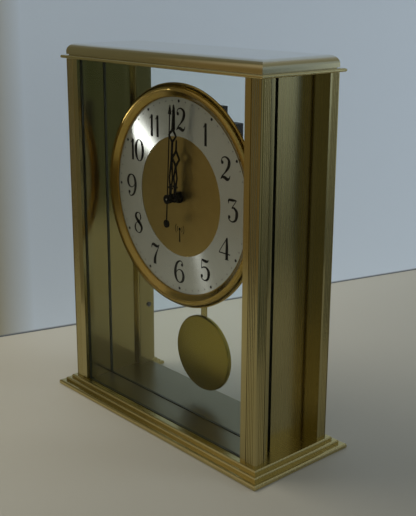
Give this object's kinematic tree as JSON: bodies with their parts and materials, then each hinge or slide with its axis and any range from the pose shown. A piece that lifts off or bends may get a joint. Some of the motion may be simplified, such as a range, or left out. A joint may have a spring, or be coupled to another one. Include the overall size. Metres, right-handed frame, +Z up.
{
  "type": "mantel clock",
  "caption": "See-through brass mantel clock: reeded corner posts, glass front, round dial on an inner pane, hands and a disc pendulum that swings.",
  "frame": {"origin": "centre of the base footprint, on the surface the clock stands on", "axes": "+Z up, +Y to the back (the dial faces -Y), +X to the right seen from the front"},
  "size_m": [0.2, 0.08, 0.24],
  "materials": {
    "polished_brass": "polished and lacquered",
    "brushed_brass": "brushed and lacquered",
    "mirror_brass": "mirror polished",
    "satin_brass": "satin",
    "gold_dial": "matt gilt with fine concentric brushing",
    "silver_dial": "silvered, fine radial brushing",
    "glass": "clear float glass",
    "black_enamel": "satin black",
    "black_plastic": "fine moulded texture",
    "white_plastic": "natural moulded acetal",
    "steel": "bright",
    "dark_steel": "blackened",
    "copper_winding": "enamelled wire",
    "ferrite": "matt sintered",
    "circuit_green": "solder-masked board",
    "battery_sleeve": "printed sleeve without lettering",
    "felt": "green felt",
    "rubber": "soft black"
  },
  "bodies": {
    "case": {"antenna_coil": "copper_winding", "antenna_rod": "ferrite", "base_felt": "felt", "base_moulding": "polished_brass", "base_screws": "steel", "battery": "battery_sleeve", "battery_contacts": "steel", "bezel": "polished_brass", "chapter_ring": "silver_dial", "circuit_board": "circuit_green", "circuit_parts": "black_plastic", "cover_screws": "steel", "dial_glass": "glass", "dial_plate": "gold_dial", "drive_coil": "copper_winding", "floor_plate_front": "mirror_brass", "floor_plate_rear": "mirror_brass", "front_glass": "glass", "gear_plate": "white_plastic", "motor_coil": "copper_winding", "motor_stator": "steel", "mounting_bush": "polished_brass", "mounting_nut": "black_enamel", "mounting_washer": "rubber", "movement_case": "black_plastic", "pivot_pin": "steel", "post_front_left": "polished_brass", "post_front_right": "polished_brass", "post_rear_left": "polished_brass", "post_rear_right": "polished_brass", "rail_screws": "dark_steel", "rear_cover": "black_plastic", "rear_rail_left": "mirror_brass", "rear_rail_right": "mirror_brass", "side_plate_left": "brushed_brass", "side_plate_right": "brushed_brass", "side_strip_left": "brushed_brass", "side_strip_right": "brushed_brass", "top_cap": "brushed_brass", "top_flange": "polished_brass", "top_studs": "steel", "train_bridge": "white_plastic"},
    "rotor": {"rotor_pinion": "white_plastic", "rotor_magnet": "dark_steel"},
    "intermediate": {"intermediate_wheel": "white_plastic"},
    "seconds": {"second_wheel": "white_plastic", "second_arbor": "steel", "second_hand": "black_enamel"},
    "third": {"third_wheel": "white_plastic"},
    "minutes": {"minute_wheel": "white_plastic", "minute_hand": "black_enamel"},
    "motion": {"motion_wheel": "white_plastic"},
    "hours": {"hour_wheel": "white_plastic", "hour_hand": "black_enamel"},
    "pendulum": {"pendulum_hanger": "black_plastic", "hanger_magnet": "steel", "pendulum_rod": "satin_brass", "pendulum_bob": "satin_brass"},
    "set_button": {"set_button": "black_plastic"},
    "reset_button": {"reset_button": "black_plastic"}
  },
  "joints": [
    {"name": "second_hand_turn", "type": "hinge", "parent": "case", "child": "seconds", "pos_m": [0, 0, 0.1499], "axis": [0, 1, 0], "continuous": true},
    {"name": "rotor_turn", "type": "hinge", "parent": "case", "child": "rotor", "pos_m": [-0.01884, 0, 0.15087], "axis": [0, 1, 0], "continuous": true},
    {"name": "intermediate_turn", "type": "hinge", "parent": "case", "child": "intermediate", "pos_m": [-0.01052, 0, 0.14607], "axis": [0, 1, 0], "continuous": true},
    {"name": "third_turn", "type": "hinge", "parent": "case", "child": "third", "pos_m": [0.01247, 0, 0.1571], "axis": [0, 1, 0], "continuous": true},
    {"name": "minute_hand_turn", "type": "hinge", "parent": "case", "child": "minutes", "pos_m": [0, 0, 0.1499], "axis": [0, 1, 0], "continuous": true},
    {"name": "motion_turn", "type": "hinge", "parent": "case", "child": "motion", "pos_m": [-0.00831, 0, 0.1547], "axis": [0, 1, 0], "continuous": true},
    {"name": "hour_hand_turn", "type": "hinge", "parent": "case", "child": "hours", "pos_m": [0, 0, 0.1499], "axis": [0, 1, 0], "continuous": true},
    {"name": "pendulum_swing", "type": "hinge", "parent": "case", "child": "pendulum", "pos_m": [0, 0, 0.1909], "axis": [0, 1, 0], "range_deg": [-4, 4]},
    {"name": "set_button_press", "type": "slide", "parent": "case", "child": "set_button", "axis": [0, -1, 0], "range_m": [0, 0.0008], "stiffness_N_per_m": 300, "springref_m": -0.001},
    {"name": "reset_button_press", "type": "slide", "parent": "case", "child": "reset_button", "axis": [0, -1, 0], "range_m": [0, 0.0008], "stiffness_N_per_m": 300, "springref_m": -0.001}
  ],
  "couplings": [
    {"joint": "rotor_turn", "follows": "second_hand_turn", "ratio": 30},
    {"joint": "intermediate_turn", "follows": "second_hand_turn", "ratio": -6},
    {"joint": "third_turn", "follows": "second_hand_turn", "ratio": -0.125},
    {"joint": "minute_hand_turn", "follows": "second_hand_turn", "ratio": 0.016667},
    {"joint": "motion_turn", "follows": "second_hand_turn", "ratio": -0.0055556},
    {"joint": "hour_hand_turn", "follows": "second_hand_turn", "ratio": 0.0013889}
  ]
}
